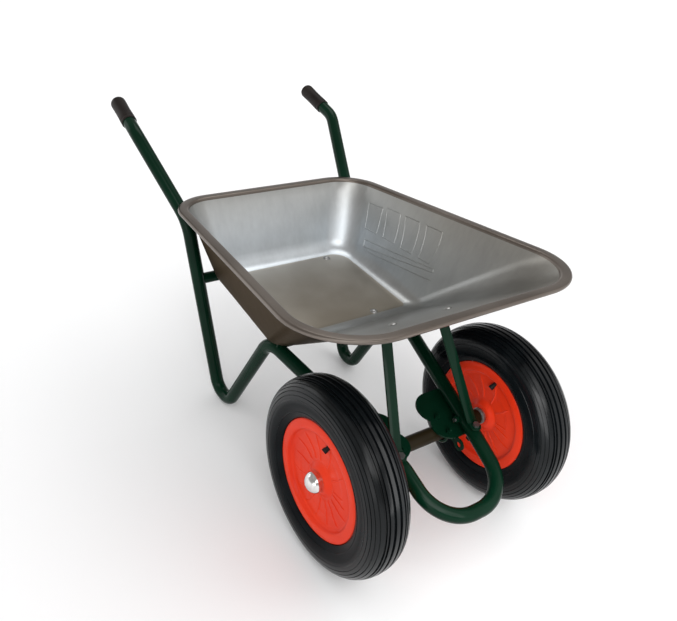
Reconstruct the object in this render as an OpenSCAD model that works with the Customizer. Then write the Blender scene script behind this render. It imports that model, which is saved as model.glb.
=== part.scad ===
// Two wheel garden wheelbarrow: a pressed sheet tray on a bent tube frame, carried by two air tyred wheels.
// The nose points along -Y, the handles along +Y and Z is up. The ground is Z = 0. Lengths are millimetres.
// The modules are drawn with the axle at Y = 0. The last step moves the middle of the footprint to the origin.

/* [Wheels] */
// Outside diameter of the tyre
wheel_d = 390; // [370:1:410]
// Width of the tyre
tyre_w = 90; // [84:1:96]
// Distance between the middle planes of the wheels
track = 420; // [414:1:440]
// Outside diameter of the rim flange
rim_d = 240; // [234:1:246]
// Outside width of the rim over its flanges
rim_w = 70; // [66:1:74]
// Thickness of the rim wall
rim_wall = 3; // [2.5:0.1:4]
// Depth of the dished rim face below the flange
dish_depth = 8; // [5:0.5:12]
// Height of the boss in the middle of the rim face
boss_h = 7; // [5:0.5:8]
// Number of curved ribs on each rim face
rib_count = 16; // [10:1:20]
// Height of the curved ribs
rib_h = 1.4; // [1:0.1:2.5]
// Number of grooves round the tread
groove_count = 7; // [5:2:9]
// Depth of the tread grooves
groove_depth = 4; // [3:0.5:6]
// Outside diameter of the valve stem
valve_d = 9; // [8:0.5:10]

/* [Hub and axle] */
// Diameter of the axle spindles
spindle_d = 20; // [18:0.5:22]
// Outside diameter of the axle tube
axle_tube_d = 32; // [30:0.5:36]
// Wall of the axle tube
axle_tube_wall = 3; // [2.5:0.1:4]
// Length of the axle plates along the frame tubes
plate_len = 122; // [116:1:130]
// Outside diameter of the hub sleeve
hub_d = 36; // [34:0.5:38]
// Outside diameter of the bushes inside the hub sleeve
bush_d = 28; // [26:0.5:30]
// Length of the hub sleeve
hub_len = 76; // [74:1:90]
// Radial running clearance of the bushes on the spindle
run_gap = 0.05; // [0.03:0.01:0.08]
// Outside diameter of the hub cap
cap_d = 43; // [41:0.5:44]
// Height of the domed part of the hub cap
cap_dome = 14; // [13:0.5:18]

/* [Frame tubes] */
// Outside diameter of the frame tubes
tube_d = 30; // [28:0.5:32]
// Wall of the frame tubes
tube_wall = 1.5; // [1.2:0.1:2]
// Distance of the frame tubes from the middle, over the axle
axle_x = 108; // [104:1:114]
// Spread of the frame tubes for each unit of length behind the axle
tube_spread = 0.198; // [0.19:0.002:0.205]
// Rise of the frame tubes behind the axle, in degrees
tube_rise = 8.2; // [7.6:0.1:8.6]
// Distance of the leg's front bend behind the axle
leg_front_y = 318; // [312:1:326]
// Distance of the foot's front bend behind the axle
foot_front_y = 438; // [430:1:442]
// Distance of the foot's rear bend behind the axle
foot_rear_y = 492; // [488:1:500]
// Distance of the foot from the middle
foot_x = 184; // [180:1:190]
// Bend radius of the foot
foot_r = 36; // [32:1:37]
// Bend radius where the leg meets the frame tube
leg_r = 45; // [40:1:50]
// Distance of the knee behind the tray from the middle
knee_x = 222; // [220:1:228]
// Distance of the knee behind the axle
knee_y = 624; // [622:1:632]
// Height of the knee
knee_z = 412; // [406:1:418]
// Bend radius of the knee
knee_r = 110; // [90:2:120]
// Distance of the handle bend from the middle
bend_x = 269; // [262:1:276]
// Distance of the handle bend behind the axle
bend_y = 807; // [800:1:814]
// Height of the handle bend
bend_z = 550; // [544:1:558]
// Bend radius of the handle
bend_r = 70; // [50:2:90]
// Distance of the grip ends from the middle
tip_x = 263; // [256:1:270]
// Distance of the grip ends behind the axle
tip_y = 934; // [925:1:950]
// Height of the grip ends
tip_z = 576; // [570:1:582]
// Outside diameter of the grips
grip_d = 35; // [34:0.5:38]
// Length of the grips
grip_len = 88; // [76:1:92]

/* [Front loop] */
// Distance of the loop's tube joint ahead of the axle
joint_y = 30; // [28:1:34]
// Distance of the first bend ahead of the axle
loop_bend_y = 64; // [62:1:68]
// Distance of the loop's front ahead of the axle
loop_y = 186; // [180:1:196]
// Half width of the loop at its front corners
loop_x = 88; // [86:1:94]
// Height of the loop's front
loop_z = 177; // [170:1:186]
// Bend radius of the loop's front corners
loop_r = 84; // [76:1:85]
// Length of the loop's ends inside the frame tubes
spigot_len = 46; // [42:1:52]

/* [Tray] */
// Thickness of the tray sheet
sheet = 1.2; // [1:0.1:1.5]
// Half width of the rim at its square front corners
rim_front_x = 338; // [330:1:346]
// Half width of the rim at its square rear corners
rim_rear_x = 254; // [250:1:262]
// Distance of the rim's front edge ahead of the axle
rim_front_y = 65; // [55:1:75]
// Distance of the rim's rear edge behind the axle
rim_rear_y = 662; // [656:1:668]
// Height of the rim's front edge
rim_front_z = 556; // [550:1:566]
// Height of the rim's rear edge
rim_rear_z = 452; // [448:1:462]
// Corner radius at the front of the rim
rim_front_r = 140; // [125:1:150]
// Corner radius at the rear of the rim
rim_rear_r = 100; // [90:1:105]
// Width of the flat lip round the rim
lip = 20; // [18:0.5:24]
// Diameter of the rolled bead on the lip
bead_d = 10; // [8:0.5:12]
// Half width of the floor at its front
floor_front_x = 196; // [190:1:200]
// Half width of the floor at its rear
floor_rear_x = 187; // [182:1:190]
// Distance of the floor's front edge behind the axle
floor_front_y = 264; // [258:1:268]
// Distance of the floor's rear edge behind the axle
floor_rear_y = 566; // [562:1:570]
// Height of the underside of the floor
floor_z = 298; // [296:0.5:304]
// Corner radius at the front of the floor
floor_front_r = 34; // [30:1:42]
// Corner radius at the rear of the floor
floor_rear_r = 62; // [55:1:70]
// Length taken by the rounded edge of the floor
edge_len = 20; // [16:1:22]

/* [Tray fixings] */
// Diameter of the bolts
bolt_d = 8; // [6:0.5:8]
// Distance of the front tray bolts from the middle
front_bolt_x = 86; // [80:1:96]
// Distance of the front tray bolts behind the axle
front_bolt_y = 296; // [295:1:299]
// Distance of the rear tray bolts from the middle
rear_bolt_x = 113; // [105:1:120]
// Distance of the rear tray bolts behind the axle
rear_bolt_y = 532; // [524:1:534]
// Outside diameter of the rear cross tube
cross_d = 25; // [22:0.5:26]
// Thickness of the bracket plates
plate = 4; // [3:0.5:5]
// Width of the strut bars
strut_w = 24; // [20:1:26]
// Thickness of the strut bars
strut_t = 4; // [3:0.5:5]
// Distance of the struts' lower bolts ahead of the axle
strut_y = 51; // [48:1:54]
// Distance of the struts' upper ends from the middle
strut_top_x = 69; // [60:1:80]
// Height of the struts' upper ends
strut_top_z = 436; // [425:1:445]
// Diameter of the open hole in the axle lugs
lug_hole_d = 12.5; // [10:0.5:13]

/* [Hidden] */
$fn = 64;
// Gap between pieces that are welded or clamped together
seat = 0.1;
// Gap round a bolt in its hole
bolt_gap = 0.25;
// Overlap of a tube's straight runs on its bends
lap = 0.4;
// Difference in diameter between a tube's straight runs and its bends
slim = 0.04;
axle_z = wheel_d / 2;
rise = tan(tube_rise);
// Underside of the axle plates above the axle's middle, square to the frame tubes
plate_up = axle_tube_d / 2 + seat;
tube_z = axle_z + (plate_up + plate + seat + tube_d / 2) / cos(tube_rise);
tube_bore = tube_d - 2 * tube_wall;
grip_edge = 7;

// Point on the left frame tube's straight part at a distance behind the axle
function under(y) = [-axle_x - tube_spread * y, y, tube_z + rise * y];

side_joint = under(-joint_y);
leg_front = under(leg_front_y);
foot_front = [-foot_x + 2, foot_front_y, tube_d / 2];
foot_rear = [-foot_x - 1, foot_rear_y, tube_d / 2];
knee = [-knee_x, knee_y, knee_z];
bend = [-bend_x, bend_y, bend_z];
tip = [-tip_x, tip_y, tip_z];
grip_dir = unit(tip - bend);
tube_end = tip - grip_dir * 4;
loop_bend = under(-loop_bend_y);
loop_corner = [-loop_x, -loop_y, loop_z];

front_y = -loop_y - tube_d / 2;
rear_y = tip_y - grip_edge * grip_dir.y + (grip_d / 2 - grip_edge) * sqrt(1 - grip_dir.y * grip_dir.y) + grip_edge;
middle_y = (front_y + rear_y) / 2;

// Rear cross tube, just under the rear brackets
cross_z = floor_z - seat - plate - seat - cross_d / 2;
cross_at = knee + (foot_rear - knee) * (knee_z - cross_z) / (knee_z - tube_d / 2);

// Front wall of the tray, outside face, as two points in the middle plane
rim_slope = (rim_rear_z - rim_front_z) / (rim_rear_y + rim_front_y);
function rim_z(y) = rim_front_z + (y + rim_front_y) * rim_slope;
wall_in = lip + 4;
wall_drop = 7;
wall_top_y = -rim_front_y + wall_in - sheet;
wall_top = [0, wall_top_y, rim_z(wall_top_y) - wall_drop - sheet * 0.4];
wall_low = [0, floor_front_y, floor_z];
wall_dir = unit(wall_top - wall_low);
wall_out = [0, -wall_dir.z, wall_dir.y];
function wall_at(x, z) = [x, wall_low.y + (z - wall_low.z) * wall_dir.y / wall_dir.z, z];

// Struts
strut_mid = under(-strut_y);
// Directions along the frame tubes and square to them, in the plane of Y and Z
tube_dir = unit([0, 1, rise]);
tube_up = unit([0, -rise, 1]);
// Each strut's lower tab lies on top of the loop
strut_tab = 14;
strut_foot = strut_mid + tube_up * (tube_d / 2 + seat + strut_t / 2);
// Gap between the strut's upper tab and the tray's curved wall
strut_seat = 0.3;
strut_head = wall_at(-strut_top_x, strut_top_z) + wall_out * (strut_seat + strut_t / 2);
strut_bolt = wall_at(-strut_top_x, strut_top_z) + wall_dir * 24;

// Hub, measured outward from the wheel's middle plane
hub_half = hub_len / 2;
flange_t = 3;
washer_t = 2;
end_play = 0.2;
axle_end = track / 2 - hub_half - flange_t - end_play - washer_t;
spindle_out = hub_half + flange_t + end_play + washer_t + 9;
rim_r = rim_d / 2;
well_r = rim_r - 19;
face_u = rim_w / 2 - dish_depth;
face_r = well_r - 5;
boss_u = face_u + boss_h;
cap_start = boss_u + 0.3;
bead_u = rim_w / 2 - rim_wall;
crown_h = (wheel_d - rim_d) / 2 - 6;
crown_r = wheel_d / 2 - crown_h * 0.56;
valve_from = [8, well_r + 3];
valve_to = [face_u + 10, well_r - 19];
// Start of the valve's thicker end, clear of the rim's face
valve_neck = valve_from + (valve_to - valve_from) * (face_u + 4.8 - valve_from[0]) / (valve_to[0] - valve_from[0]);

// Shared helpers

function unit(v) = v / norm(v);
function tidy(a) = round(a * 1000) / 1000;
function turn(a, b, c) = acos(max(-1, min(1, unit(b - a) * unit(c - b))));

module placed(p, x, y, z) {
    multmatrix([[x.x, y.x, z.x, p.x], [x.y, y.y, z.y, p.y], [x.z, y.z, z.z, p.z], [0, 0, 0, 1]]) children();
}

// Puts the children's Z axis along a direction
module along(p, d) {
    z = unit(d);
    side = abs(z.z) < 0.9 ? [0, 0, 1] : [1, 0, 0];
    x = unit(cross(side, z));
    placed(p, x, cross(z, x), z) children();
}

// Turns the children's Z axis outward along X, on the left (-1) or the right (1)
module outward(dir) {
    rotate([0, 90 * dir, 0]) children();
}

module pipe_section(od, id) {
    difference() {
        circle(d = od);
        circle(d = id);
    }
}

// Straight run, then a bend towards the local +X, then the rest of the tube
// The bends are a hair thinner and the straight runs reach a little way over them, so that the pieces join
module tube_run(i, runs, turns, rolls, radii, od, id) {
    before = i > 0 ? lap : 0;
    after = i < len(turns) ? lap : 0;
    translate([0, 0, -before]) linear_extrude(runs[i] + before + after) pipe_section(od, id);
    if (i < len(turns)) {
        r = radii[i];
        translate([0, 0, runs[i]]) rotate([0, 0, rolls[i]]) {
            placed([r, 0, 0], [-1, 0, 0], [0, 0, 1], [0, 1, 0])
                rotate_extrude(angle = turns[i]) translate([r, 0]) pipe_section(od - slim, id + slim);
            translate([r, 0, 0]) rotate([0, turns[i], 0]) translate([-r, 0, 0])
                tube_run(i + 1, runs, turns, rolls, radii, od, id);
        }
    }
}

// Tube through a list of corner points, with one bend radius for each inner corner
module bent_tube(points, radii, od, id) {
    n = len(points);
    dirs = [for (i = [0 : n - 2]) unit(points[i + 1] - points[i])];
    turns = [for (i = [1 : n - 2]) tidy(turn(points[i - 1], points[i], points[i + 1]))];
    cuts = [for (i = [0 : n - 1]) (i == 0 || i == n - 1) ? 0 : radii[i - 1] * tan(turns[i - 1] / 2)];
    runs = [for (i = [0 : n - 2]) tidy(norm(points[i + 1] - points[i]) - cuts[i] - cuts[i + 1])];
    // The side that each bend turns towards
    sides = [for (i = [0 : n - 3]) unit(dirs[i + 1] - dirs[i] * (dirs[i] * dirs[i + 1]))];
    // The same side carried through the bend, as the reference for the next roll
    carried = [for (i = [0 : n - 3]) unit(sides[i] * cos(turns[i]) - dirs[i] * sin(turns[i]))];
    rolls = [for (i = [0 : n - 3]) i == 0 ? 0 :
        tidy(atan2(cross(carried[i - 1], sides[i]) * dirs[i], carried[i - 1] * sides[i]))];
    placed(points[0], sides[0], cross(dirs[0], sides[0]), dirs[0])
        tube_run(0, runs, turns, rolls, radii, od, id);
}

module left_and_right() {
    children();
    mirror([1, 0, 0]) children();
}

// Hexagon head or nut with its outer face up
module hexagon(across, h) {
    cylinder(d = across / cos(30), h = h, $fn = 6);
}

// Tray

// Points round a rounded corner, in plan
function corner(a, b, c, r, n) =
    let (u = unit(b - a), v = unit(c - b), t = acos(u * v), s = b - u * r * tan(t / 2),
        m = [-u.y, u.x], o = s + m * r)
    [for (k = [0 : n]) o - m * r * cos(t * k / n) + u * r * sin(t * k / n)];
function between(a, b, n) = n < 2 ? [] : [for (k = [1 : n - 1]) a + (b - a) * k / n];
// Rounded outline drawn in by a distance, anticlockwise from above, always with the same number of points
function outline(fx, rx, fy, ry, fr, rr, in) =
    let (m = (fx - rx) / (ry - fy), w = in * sqrt(1 + m * m),
        f = fy + in, b = ry - in, fw = fx - m * (f - fy) - w, bw = fx - m * (b - fy) - w,
        p = [[-fw, f], [fw, f], [bw, b], [-bw, b]],
        r = [max(fr - in, 2), max(fr - in, 2), max(rr - in, 2), max(rr - in, 2)],
        c = [for (i = [0 : 3]) corner(p[(i + 3) % 4], p[i], p[(i + 1) % 4], r[i], 10)],
        gaps = [5, 4, 5, 4])
    [for (i = [0 : 3]) each concat(c[i], between(c[i][10], c[(i + 1) % 4][0], gaps[i]))];
function rim_ring(in, drop) =
    [for (p = outline(rim_front_x, rim_rear_x, -rim_front_y, rim_rear_y, rim_front_r, rim_rear_r, in))
        [p.x, p.y, rim_z(p.y) - drop]];
function floor_ring(in, up) =
    [for (p = outline(floor_front_x, floor_rear_x, floor_front_y, floor_rear_y, floor_front_r, floor_rear_r, in))
        [p.x, p.y, floor_z + up]];
// Rings of the rounded edge between floor and wall
function edge_ring(flat, square, top, t) =
    [for (i = [0 : len(flat) - 1])
        let (s = square[i] + unit(top[i] - square[i]) * edge_len)
        flat[i] * (1 - t) * (1 - t) + square[i] * 2 * t * (1 - t) + s * t * t];

module tray_sheet() {
    top_in = rim_ring(wall_in, wall_drop);
    top_out = rim_ring(wall_in - sheet, wall_drop + sheet * 0.4);
    flat_in = floor_ring(edge_len + sheet, sheet);
    flat_out = floor_ring(edge_len, 0);
    square_in = floor_ring(sheet, sheet);
    square_out = floor_ring(0, 0);
    bead_r = bead_d / 2;
    bead_close = 180 - asin((bead_r - sheet) / bead_r);
    steps = [0, 0.2, 0.4, 0.6, 0.8, 1];
    rings = concat(
        [for (t = steps) edge_ring(flat_in, square_in, top_in, t)],
        [top_in, rim_ring(lip + 2.4, 3.2), rim_ring(lip + 0.4, 0.9), rim_ring(lip - 2, 0)],
        [for (a = [90, 60, 30, 0, -30, -60, -90, -125, -160, bead_close - 360])
            rim_ring(bead_r - bead_r * cos(a), bead_r - bead_r * sin(a))],
        [rim_ring(lip - 2.4, sheet), rim_ring(lip - 0.3, sheet + 0.8), rim_ring(lip + 1.4, sheet + 2.8), top_out],
        [for (t = [1, 0.8, 0.6, 0.4, 0.2, 0]) edge_ring(flat_out, square_out, top_out, t)]);
    n = len(rings[0]);
    count = len(rings);
    mid_y = (floor_front_y + floor_rear_y) / 2;
    points = concat([for (r = rings) each r], [[0, mid_y, floor_z + sheet], [0, mid_y, floor_z]]);
    faces = concat(
        [for (k = [0 : count - 2], i = [0 : n - 1])
            each let (j = (i + 1) % n, a = k * n + i, b = k * n + j, c = (k + 1) * n + j, d = (k + 1) * n + i)
            [[a, c, b], [a, d, c]]],
        [for (i = [0 : n - 1]) [i, (i + 1) % n, n * count]],
        [for (i = [0 : n - 1]) [(count - 1) * n + (i + 1) % n, (count - 1) * n + i, n * count + 1]]);
    polyhedron(points, faces);
}

module tray() {
    color([0.68, 0.7, 0.72]) difference() {
        tray_sheet();
        left_and_right() {
            for (p = [[-front_bolt_x, front_bolt_y], [-rear_bolt_x, rear_bolt_y]])
                translate([p.x, p.y, floor_z - 10]) cylinder(d = bolt_d + 2 * bolt_gap, h = 20);
            along(strut_bolt, wall_out) cylinder(d = bolt_d + 2 * bolt_gap, h = 20, center = true);
        }
    }
}

// Frame

module left_side_tube() {
    color([0.07, 0.12, 0.09]) difference() {
        bent_tube([side_joint, leg_front, foot_front, foot_rear, knee, bend, tube_end],
            [leg_r, foot_r, foot_r, knee_r, bend_r], tube_d, tube_bore);
        joint_hole();
    }
}

module right_side_tube() {
    mirror([1, 0, 0]) left_side_tube();
}

// Hole across the joint between the left frame tube and the loop
joint_bolt = under(-12);
// The head and the nut stand off the slanting tube by their own half width
joint_off = tube_d / 2 * sqrt(1 + tube_spread * tube_spread) + 7.6 * tube_spread + seat;
module joint_hole() {
    translate(joint_bolt) rotate([0, 90, 0]) cylinder(d = bolt_d + 2 * bolt_gap, h = 80, center = true);
}

module front_loop() {
    ends = unit(loop_bend - side_joint);
    far = [for (p = [loop_corner, loop_bend, side_joint]) [-p.x, p.y, p.z]];
    color([0.07, 0.12, 0.09]) difference() {
        union() {
            bent_tube(concat([side_joint, loop_bend, loop_corner], far), [80, loop_r, loop_r, 80], tube_d, tube_bore);
            left_and_right() along(side_joint - ends * spigot_len, ends) linear_extrude(spigot_len + 12)
                pipe_section(tube_bore - 2 * seat, tube_bore - 5);
            left_and_right() along(side_joint + ends * 4, ends) linear_extrude(8)
                pipe_section(tube_bore + 1, tube_bore - 5);
        }
        left_and_right() {
            joint_hole();
            along(strut_mid, tube_up) cylinder(d = bolt_d + 2 * bolt_gap, h = 80, center = true);
        }
    }
}

module left_grip() {
    color([0.06, 0.05, 0.05]) along(tip, -grip_dir) rotate_extrude() {
        translate([0, grip_edge]) difference() {
            square([grip_d / 2, grip_len - grip_edge]);
            translate([0, 4 - grip_edge]) square([tube_d / 2 + seat, grip_len]);
        }
        square([grip_d / 2 - grip_edge, 4 - seat]);
        intersection() {
            translate([grip_d / 2 - grip_edge, grip_edge]) circle(grip_edge);
            translate([tube_d / 2 + seat, 0]) square([grip_edge, grip_edge]);
        }
        intersection() {
            translate([grip_d / 2 - grip_edge, grip_edge]) circle(grip_edge);
            translate([grip_d / 2 - grip_edge, 0]) square([grip_edge, 4 - seat]);
        }
    }
}

module right_grip() {
    mirror([1, 0, 0]) left_grip();
}

module rear_cross_tube() {
    color([0.07, 0.12, 0.09]) difference() {
        translate([0, cross_at.y, cross_z]) rotate([0, 90, 0])
            linear_extrude(-2 * cross_at.x, center = true) pipe_section(cross_d, cross_d - 2 * tube_wall);
        left_and_right() along(knee, foot_rear - knee) cylinder(d = tube_d + 2 * seat, h = 400);
    }
}

module rear_brackets() {
    color([0.07, 0.12, 0.09]) left_and_right() difference() {
        translate([-rear_bolt_x - 20, rear_bolt_y - 16, floor_z - seat - plate])
            cube([40, cross_at.y - rear_bolt_y + 20, plate]);
        translate([-rear_bolt_x, rear_bolt_y, floor_z - 20]) cylinder(d = bolt_d + 2 * bolt_gap, h = 40);
    }
}

// Channel section bar on top of the frame tubes
module front_tray_bar() {
    half = axle_x + tube_spread * front_bolt_y;
    color([0.07, 0.12, 0.09]) difference() {
        translate([-half - 8, front_bolt_y - 14, floor_z - seat - 20]) cube([2 * half + 16, 28, 20]);
        translate([-half - 20, front_bolt_y - 11, floor_z - seat - 30]) cube([2 * half + 40, 22, 27]);
        left_and_right() {
            along(under(100), leg_front - side_joint) cylinder(d = tube_d + 2 * seat, h = 260);
            translate([-front_bolt_x, front_bolt_y, floor_z - 20]) cylinder(d = bolt_d + 2 * bolt_gap, h = 40);
        }
    }
}

// Flat bar with a round tab on the loop and a tab bent against the tray's front wall
module left_strut() {
    start = strut_foot + tube_dir * strut_tab;
    run = unit([0, strut_head.y - start.y, strut_head.z - start.z]);
    face = [0, -run.z, run.y];
    // Cross sections from bottom to top: middle, direction of the thickness, width
    sections = concat(
        [for (a = [75, 50, 25, 0]) [strut_foot - tube_dir * (strut_w / 2 * sin(a)), tube_up, strut_w * cos(a)]],
        [[start, unit(tube_up + face), strut_w], [strut_head, unit(face + wall_out), strut_w],
            [strut_head + wall_dir * 38, wall_out, strut_w]]);
    top = 4 * len(sections);
    points = [for (s = sections) each let (a = [s[2] / 2, 0, 0], b = s[1] * strut_t / 2)
        [s[0] - a - b, s[0] + a - b, s[0] + a + b, s[0] - a + b]];
    faces = concat([[0, 1, 2], [0, 2, 3], [top - 4, top - 2, top - 3], [top - 4, top - 1, top - 2]],
        [for (i = [0 : 4 : top - 8], j = [0 : 3]) each let (a = i + j, b = i + (j + 1) % 4) [[a, a + 4, b + 4], [a, b + 4, b]]]);
    color([0.07, 0.12, 0.09]) difference() {
        polyhedron(points, faces);
        along(strut_foot, tube_up) cylinder(d = bolt_d + 2 * bolt_gap, h = 20, center = true);
        along(strut_bolt, wall_out) cylinder(d = bolt_d + 2 * bolt_gap, h = 30, center = true);
    }
}

module right_strut() {
    mirror([1, 0, 0]) left_strut();
}

// Axle

u_bolt_x = 62;
u_bolt_r = axle_tube_d / 2 + seat + bolt_d / 2;
lug_x = 76;
lug_y = -46;
lug_z = 4;

// Puts the children square to the frame tubes, about the middle of the axle
module square_to_tubes() {
    translate([0, 0, axle_z]) rotate([tube_rise, 0, 0]) children();
}

// Flat plate between the axle tube and the frame tube, with a lug hanging from its front
module left_axle_plate() {
    color([0.07, 0.12, 0.09]) square_to_tubes() difference() {
        union() {
            translate([0, 0, plate_up]) linear_extrude(plate) difference() {
                union() {
                    translate([-axle_x - 20, -36]) square([axle_x - 50, plate_len]);
                    translate([-70, -1]) circle(35);
                    translate([-74, plate_len - 76]) circle(40);
                }
                translate([-33, plate_len - 98]) circle(7);
            }
            translate([-lug_x, 0, 0]) rotate([90, 0, 90]) linear_extrude(plate) {
                translate([-34, plate_up - 18]) square([14, 20]);
                translate([lug_y, plate_up - 18]) square([14, 17.5]);
                translate([lug_y, lug_z]) circle(13);
            }
        }
        for (s = [-1, 1])
            translate([-u_bolt_x, s * u_bolt_r, 0]) cylinder(d = bolt_d + 2 * bolt_gap, h = 60);
        translate([-lug_x + plate / 2, lug_y, lug_z]) rotate([0, 90, 0]) cylinder(d = lug_hole_d, h = 20, center = true);
    }
}

module right_axle_plate() {
    mirror([1, 0, 0]) left_axle_plate();
}

module u_bolts() {
    color([0.6, 0.6, 0.6]) left_and_right() square_to_tubes() translate([-u_bolt_x, 0, 0]) {
        for (s = [-1, 1])
            translate([0, s * u_bolt_r, 0]) cylinder(d = bolt_d, h = plate_up + plate + 12);
        rotate([0, 90, 0]) rotate([0, 0, -90]) rotate_extrude(angle = 180) translate([u_bolt_r, 0]) circle(d = bolt_d);
    }
}

module u_bolt_nuts() {
    color([0.6, 0.6, 0.6]) left_and_right() square_to_tubes() for (s = [-1, 1])
        translate([-u_bolt_x, s * u_bolt_r, plate_up + plate + seat]) nut();
}

module axle_tube() {
    color([0.07, 0.12, 0.09]) translate([0, 0, axle_z]) rotate([0, 90, 0])
        linear_extrude(2 * axle_end, center = true) pipe_section(axle_tube_d, axle_tube_d - 2 * axle_tube_wall);
}

// Turned spindle, its thick end inside the axle tube
module spindle(dir) {
    color([0.6, 0.6, 0.6]) difference() {
        translate([dir * axle_end, 0, axle_z]) outward(dir) {
            translate([0, 0, -70]) cylinder(d = axle_tube_d - 2 * axle_tube_wall - 0.1, h = 70);
            cylinder(d = spindle_d, h = track / 2 + spindle_out - axle_end);
        }
        translate([dir * (track / 2 + spindle_out - 5), 0, axle_z]) cylinder(d = 4, h = 60, center = true);
    }
}

module left_spindle() {
    spindle(-1);
}

module right_spindle() {
    spindle(1);
}

module thrust_washers() {
    color([0.6, 0.6, 0.6]) for (dir = [-1, 1], u = [-hub_half - flange_t - end_play - washer_t, hub_half + flange_t + end_play])
        translate([dir * (track / 2 + u), 0, axle_z]) outward(dir) difference() {
            cylinder(d = 30, h = washer_t);
            translate([0, 0, -1]) cylinder(d = spindle_d + 2 * seat, h = 10);
        }
}

module split_pins() {
    color([0.6, 0.6, 0.6]) for (dir = [-1, 1])
        translate([dir * (track / 2 + spindle_out - 5), 0, axle_z]) cylinder(d = 3.8, h = spindle_d + 6, center = true);
}

// Bolts and nuts

// Domed bolt with its head's underside at the origin and its shank along -Z
module dome_bolt(len) {
    translate([0, 0, -len]) cylinder(d = bolt_d, h = len);
    intersection() {
        cylinder(d = bolt_d * 2.2, h = bolt_d);
        translate([0, 0, bolt_d * 0.55 - bolt_d * 1.4]) sphere(bolt_d * 1.4);
    }
}

module nut() {
    difference() {
        hexagon(13, 6.5);
        translate([0, 0, -1]) cylinder(d = bolt_d + 0.1, h = 10);
    }
}

module tray_bolts() {
    color([0.75, 0.75, 0.75]) left_and_right() for (p = [[-front_bolt_x, front_bolt_y], [-rear_bolt_x, rear_bolt_y]])
        translate([p.x, p.y, floor_z + sheet + seat]) dome_bolt(sheet + plate + 14);
}

module tray_nuts() {
    color([0.6, 0.6, 0.6]) left_and_right() {
        translate([-front_bolt_x, front_bolt_y, floor_z - 3 - 2 * seat - 6.5]) nut();
        translate([-rear_bolt_x, rear_bolt_y, floor_z - plate - 2 * seat - 6.5]) nut();
    }
}

module strut_bolts() {
    color([0.6, 0.6, 0.6]) left_and_right() {
        along(strut_foot + tube_up * (strut_t / 2 + seat), -tube_up) {
            cylinder(d = bolt_d, h = tube_d + strut_t + 3 * seat + 9);
            translate([0, 0, -5.3]) hexagon(13, 5.3);
        }
        along(strut_bolt - wall_out * (sheet * 1.35 + seat), -wall_out) dome_bolt(sheet + strut_t + 11);
    }
}

module strut_nuts() {
    color([0.6, 0.6, 0.6]) left_and_right() {
        along(strut_mid - tube_up * (tube_d / 2 + seat), -tube_up) nut();
        along(strut_bolt + wall_out * (strut_t + strut_seat + seat), wall_out) nut();
    }
}

module joint_bolts() {
    color([0.6, 0.6, 0.6]) left_and_right() translate([joint_bolt.x - joint_off, joint_bolt.y, joint_bolt.z])
        rotate([0, 90, 0]) {
            cylinder(d = bolt_d, h = 2 * joint_off + 10);
            translate([0, 0, -5.3]) hexagon(13, 5.3);
        }
}

module joint_nuts() {
    color([0.6, 0.6, 0.6]) left_and_right()
        translate([joint_bolt.x + joint_off, joint_bolt.y, joint_bolt.z]) rotate([0, 90, 0]) nut();
}

// Wheels, drawn about the origin with the turning axis along Z and the outer face up

// Half width of the tyre's outside at an angle from the widest line, and its radius there
function tyre_point(a, w, h) =
    [crown_r + h * (a < 0 ? -1 : 1) * pow(abs(sin(a)), 0.85), w * pow(cos(a), 0.85)];
function groove_at(i) = (i - (groove_count - 1) / 2) * tyre_w * 0.76 / groove_count;
function crown_at(u) = crown_r + (wheel_d / 2 - crown_r) * pow(1 - pow(min(1, abs(u) / (tyre_w / 2)), 2.35), 0.425);

tread = [for (i = [0 : groove_count - 1]) each let (u = groove_at(i), g = 1.7, d = groove_depth)
    [[crown_at(u - g), u - g], [crown_at(u) - d, u - g * 0.6], [crown_at(u) - d, u + g * 0.6], [crown_at(u + g), u + g]]];
shoulder_u = groove_at(groove_count - 1) + 3.5;
shoulder = [for (k = [0 : 12]) let (u = shoulder_u + (tyre_w / 2 - shoulder_u) * sin(90 * k / 12)) [crown_at(u), u]];
low_side = [for (a = [-6 : -6 : -34]) tyre_point(a, tyre_w / 2, crown_r - rim_r + 14)];
neck = [[rim_r + 1.2, bead_u - 0.3], [well_r + 1, bead_u - 0.3], [well_r + 1, bead_u - 11]];
right_side = concat(shoulder, [for (p = low_side) if (p[0] > rim_r + 1.4) p], [[rim_r + 1.2, tyre_w / 2 - 6]], neck);
cavity_w = tyre_w / 2 - 7;
cavity = [for (a = [-52 : 8 : 232])
    [crown_r - 2 + (a < 0 || a > 180 ? crown_r - rim_r + 8 : wheel_d / 2 - crown_r - 8) * sin(a), cavity_w * cos(a)]];

function flipped(pts) = [for (i = [len(pts) - 1 : -1 : 0]) [pts[i][0], -pts[i][1]]];
tyre_profile = concat(tread, right_side, flipped(right_side));

module tyre() {
    color([0.07, 0.07, 0.08]) rotate_extrude() difference() {
        polygon(tyre_profile);
        polygon(cavity);
        translate([well_r - 2, -bead_u + 11.3]) square([30, 2 * bead_u - 22.6]);
    }
}

// Air tube that fills the tyre
module inner_tube() {
    r = min(cavity_w - 2, wheel_d / 2 - crown_r - 7.35);
    color([0.1, 0.1, 0.1]) rotate_extrude() translate([crown_r - 3, 0]) difference() {
        circle(r);
        circle(r - 3);
    }
}

module rib_shape() {
    inner = hub_d / 2 + 15;
    outer = face_r - 4;
    half = 1.3;
    mid = [for (k = [0 : 8]) let (r = inner + (outer - inner) * k / 8, a = 14 * pow(k / 8, 2)) [r, a]];
    polygon(concat(
        [for (p = mid) let (a = p[1] + half / p[0] * 57.3) [p[0] * cos(a), p[0] * sin(a)]],
        [for (i = [8 : -1 : 0]) let (p = mid[i], a = p[1] - half / p[0] * 57.3) [p[0] * cos(a), p[0] * sin(a)]]));
}

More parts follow.
